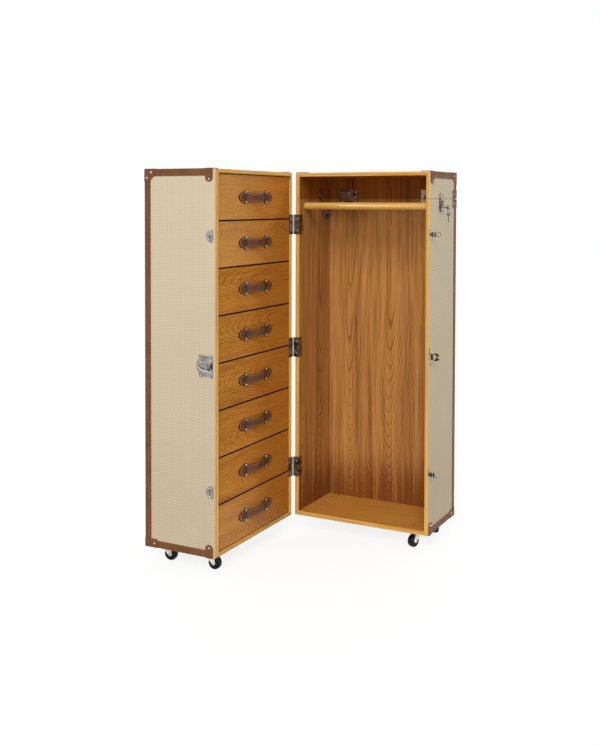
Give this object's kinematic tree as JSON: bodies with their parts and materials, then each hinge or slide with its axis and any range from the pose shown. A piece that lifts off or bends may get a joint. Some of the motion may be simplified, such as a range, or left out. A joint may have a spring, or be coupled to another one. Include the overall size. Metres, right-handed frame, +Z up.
{
  "type": "wardrobe trunk",
  "caption": "Upright wardrobe trunk that opens like a book on swivel casters, with a hanging half under a hinged lid and a half of pull-out drawers.",
  "frame": {"origin": "on the floor under the middle of the open trunk's bounding box, at its lowest point", "axes": "+Z up; the wardrobe half runs along +X and opens toward -Y, the drawer half runs along -Y and its drawers open toward +X"},
  "size_m": [0.9426, 0.9086, 1.4688],
  "materials": {
    "oak_veneer": "satin",
    "oak": "satin",
    "drawer_oak": "satin",
    "woven_cloth": "matte",
    "leather": "satin",
    "pull_leather": "satin",
    "hinge_steel": "satin",
    "nickel": "polished",
    "dark_nickel": "polished",
    "stay_steel": "satin",
    "caster_plate": "satin",
    "caster_steel": "satin",
    "caster_wheel": "matte"
  },
  "bodies": {
    "wardrobe_case": {"wardrobe_carcass": "oak_veneer", "wardrobe_lipping": "oak", "wardrobe_cover": "woven_cloth", "wardrobe_edging": "leather", "hanging_rail": "oak", "trunk_hinge_fixed_leaves": "hinge_steel", "lid_hinge_lower_leaves": "hinge_steel", "latch_plates": "nickel", "lid_lock_case": "nickel", "stay_side_bracket": "stay_steel", "wardrobe_caster_plates": "caster_plate"},
    "lid": {"lid_carcass": "oak_veneer", "lid_lipping": "oak", "lid_cover": "woven_cloth", "lid_edging": "leather", "lid_hinge_upper_leaves": "hinge_steel", "lid_lock_catch": "nickel", "stay_lid_bracket": "stay_steel"},
    "stay_upper_arm": {"stay_upper_arm": "stay_steel"},
    "stay_lower_arm": {"stay_lower_arm": "stay_steel"},
    "upper_latch_lever": {"upper_latch_lever": "nickel"},
    "lower_latch_lever": {"lower_latch_lever": "nickel"},
    "centre_hasp": {"centre_hasp": "dark_nickel"},
    "lock_key": {"lock_key": "nickel"},
    "drawer_case": {"drawer_case_carcass": "oak_veneer", "drawer_case_lipping": "oak", "drawer_runners": "oak", "drawer_case_cover": "woven_cloth", "drawer_case_edging": "leather", "trunk_hinge_moving_leaves": "hinge_steel", "lock_strikes": "nickel", "drawer_case_caster_plates": "caster_plate"},
    "drawer_8": {"drawer_8": "drawer_oak", "drawer_8_pull": "pull_leather"},
    "drawer_7": {"drawer_7": "drawer_oak", "drawer_7_pull": "pull_leather"},
    "drawer_6": {"drawer_6": "drawer_oak", "drawer_6_pull": "pull_leather"},
    "drawer_5": {"drawer_5": "drawer_oak", "drawer_5_pull": "pull_leather"},
    "drawer_4": {"drawer_4": "drawer_oak", "drawer_4_pull": "pull_leather"},
    "drawer_3": {"drawer_3": "drawer_oak", "drawer_3_pull": "pull_leather"},
    "drawer_2": {"drawer_2": "drawer_oak", "drawer_2_pull": "pull_leather"},
    "drawer_1": {"drawer_1": "drawer_oak", "drawer_1_pull": "pull_leather"},
    "wardrobe_outer_front_caster_fork": {"wardrobe_outer_front_caster_fork": "caster_steel"},
    "wardrobe_outer_front_caster_wheel": {"wardrobe_outer_front_caster_wheel": "caster_wheel"},
    "wardrobe_outer_back_caster_fork": {"wardrobe_outer_back_caster_fork": "caster_steel"},
    "wardrobe_outer_back_caster_wheel": {"wardrobe_outer_back_caster_wheel": "caster_wheel"},
    "wardrobe_hinge_back_caster_fork": {"wardrobe_hinge_back_caster_fork": "caster_steel"},
    "wardrobe_hinge_back_caster_wheel": {"wardrobe_hinge_back_caster_wheel": "caster_wheel"},
    "drawer_case_outer_front_caster_fork": {"drawer_case_outer_front_caster_fork": "caster_steel"},
    "drawer_case_outer_front_caster_wheel": {"drawer_case_outer_front_caster_wheel": "caster_wheel"},
    "drawer_case_outer_back_caster_fork": {"drawer_case_outer_back_caster_fork": "caster_steel"},
    "drawer_case_outer_back_caster_wheel": {"drawer_case_outer_back_caster_wheel": "caster_wheel"},
    "drawer_case_hinge_back_caster_fork": {"drawer_case_hinge_back_caster_fork": "caster_steel"},
    "drawer_case_hinge_back_caster_wheel": {"drawer_case_hinge_back_caster_wheel": "caster_wheel"}
  },
  "joints": [
    {"name": "fold", "type": "hinge", "parent": "wardrobe_case", "child": "drawer_case", "pos_m": [-0.1611, 0.14015, 0.066], "axis": [0, 0, -1], "range_deg": [-90, 90]},
    {"name": "lid_tilt", "type": "hinge", "parent": "wardrobe_case", "child": "lid", "pos_m": [-0.1511, 0.45135, 1.362], "axis": [-1, 0, 0], "range_deg": [0, 80]},
    {"name": "stay_upper_turn", "type": "hinge", "parent": "lid", "child": "stay_upper_arm", "pos_m": [-0.1511, 0.33155, 1.38], "axis": [-1, 0, 0], "range_deg": [-48.22, 0]},
    {"name": "stay_lower_turn", "type": "hinge", "parent": "wardrobe_case", "child": "stay_lower_arm", "pos_m": [-0.1511, 0.41355, 1.306], "axis": [-1, 0, 0], "range_deg": [0, 136.45]},
    {"name": "lower_latch_turn", "type": "hinge", "parent": "wardrobe_case", "child": "lower_latch_lever", "pos_m": [0.4295, 0.14755, 0.304], "axis": [0, 0, 1], "range_deg": [-90, 0]},
    {"name": "upper_latch_turn", "type": "hinge", "parent": "wardrobe_case", "child": "upper_latch_lever", "pos_m": [0.4295, 0.14755, 1.225], "axis": [0, 0, 1], "range_deg": [-90, 0]},
    {"name": "hasp_turn", "type": "hinge", "parent": "wardrobe_case", "child": "centre_hasp", "pos_m": [0.4339, 0.14755, 0.758], "axis": [0, 0, 1], "range_deg": [-90, 0]},
    {"name": "key_turn", "type": "hinge", "parent": "wardrobe_case", "child": "lock_key", "pos_m": [0.4249, 0.26355, 1.328], "axis": [1, 0, 0], "range_deg": [0, 90]},
    {"name": "drawer_8_slide", "type": "slide", "parent": "drawer_case", "child": "drawer_8", "axis": [1, 0, 0], "range_m": [0, 0.2]},
    {"name": "drawer_7_slide", "type": "slide", "parent": "drawer_case", "child": "drawer_7", "axis": [1, 0, 0], "range_m": [0, 0.2]},
    {"name": "drawer_6_slide", "type": "slide", "parent": "drawer_case", "child": "drawer_6", "axis": [1, 0, 0], "range_m": [0, 0.2]},
    {"name": "drawer_5_slide", "type": "slide", "parent": "drawer_case", "child": "drawer_5", "axis": [1, 0, 0], "range_m": [0, 0.2]},
    {"name": "drawer_4_slide", "type": "slide", "parent": "drawer_case", "child": "drawer_4", "axis": [1, 0, 0], "range_m": [0, 0.2]},
    {"name": "drawer_3_slide", "type": "slide", "parent": "drawer_case", "child": "drawer_3", "axis": [1, 0, 0], "range_m": [0, 0.2]},
    {"name": "drawer_2_slide", "type": "slide", "parent": "drawer_case", "child": "drawer_2", "axis": [1, 0, 0], "range_m": [0, 0.2]},
    {"name": "drawer_1_slide", "type": "slide", "parent": "drawer_case", "child": "drawer_1", "axis": [1, 0, 0], "range_m": [0, 0.2]},
    {"name": "wardrobe_outer_front_caster_swivel", "type": "hinge", "parent": "wardrobe_case", "child": "wardrobe_outer_front_caster_fork", "pos_m": [0.3569, 0.20555, 0.054], "axis": [0, 0, 1], "continuous": true},
    {"name": "wardrobe_outer_front_caster_roll", "type": "hinge", "parent": "wardrobe_outer_front_caster_fork", "child": "wardrobe_outer_front_caster_wheel", "pos_m": [0.35006, 0.18676, 0.025], "axis": [0.9397, -0.342, 0], "continuous": true},
    {"name": "wardrobe_outer_back_caster_swivel", "type": "hinge", "parent": "wardrobe_case", "child": "wardrobe_outer_back_caster_fork", "pos_m": [0.3569, 0.40155, 0.054], "axis": [0, 0, 1], "continuous": true},
    {"name": "wardrobe_outer_back_caster_roll", "type": "hinge", "parent": "wardrobe_outer_back_caster_fork", "child": "wardrobe_outer_back_caster_wheel", "pos_m": [0.36837, 0.38517, 0.025], "axis": [0.8192, 0.5736, 0], "continuous": true},
    {"name": "wardrobe_hinge_back_caster_swivel", "type": "hinge", "parent": "wardrobe_case", "child": "wardrobe_hinge_back_caster_fork", "pos_m": [-0.0911, 0.40155, 0.054], "axis": [0, 0, 1], "continuous": true},
    {"name": "wardrobe_hinge_back_caster_roll", "type": "hinge", "parent": "wardrobe_hinge_back_caster_fork", "child": "wardrobe_hinge_back_caster_wheel", "pos_m": [-0.07824, 0.41687, 0.025], "axis": [-0.766, 0.6428, 0], "continuous": true},
    {"name": "drawer_case_outer_front_caster_swivel", "type": "hinge", "parent": "drawer_case", "child": "drawer_case_outer_front_caster_fork", "pos_m": [-0.2265, -0.37785, 0.054], "axis": [0, 0, 1], "continuous": true},
    {"name": "drawer_case_outer_front_caster_roll", "type": "hinge", "parent": "drawer_case_outer_front_caster_fork", "child": "drawer_case_outer_front_caster_wheel", "pos_m": [-0.2065, -0.37785, 0.025], "axis": [0, -1, 0], "continuous": true},
    {"name": "drawer_case_outer_back_caster_swivel", "type": "hinge", "parent": "drawer_case", "child": "drawer_case_outer_back_caster_fork", "pos_m": [-0.4225, -0.37785, 0.054], "axis": [0, 0, 1], "continuous": true},
    {"name": "drawer_case_outer_back_caster_roll", "type": "hinge", "parent": "drawer_case_outer_back_caster_fork", "child": "drawer_case_outer_back_caster_wheel", "pos_m": [-0.4027, -0.37507, 0.025], "axis": [0.1392, -0.9903, 0], "continuous": true},
    {"name": "drawer_case_hinge_back_caster_swivel", "type": "hinge", "parent": "drawer_case", "child": "drawer_case_hinge_back_caster_fork", "pos_m": [-0.4225, 0.07015, 0.054], "axis": [0, 0, 1], "continuous": true},
    {"name": "drawer_case_hinge_back_caster_roll", "type": "hinge", "parent": "drawer_case_hinge_back_caster_fork", "child": "drawer_case_hinge_back_caster_wheel", "pos_m": [-0.41566, 0.05136, 0.025], "axis": [-0.9397, -0.342, 0], "continuous": true}
  ],
  "couplings": [
    {"joint": "stay_upper_turn", "follows": "lid_tilt", "ratio": -0.60258},
    {"joint": "stay_lower_turn", "follows": "lid_tilt", "ratio": 1.7054}
  ]
}
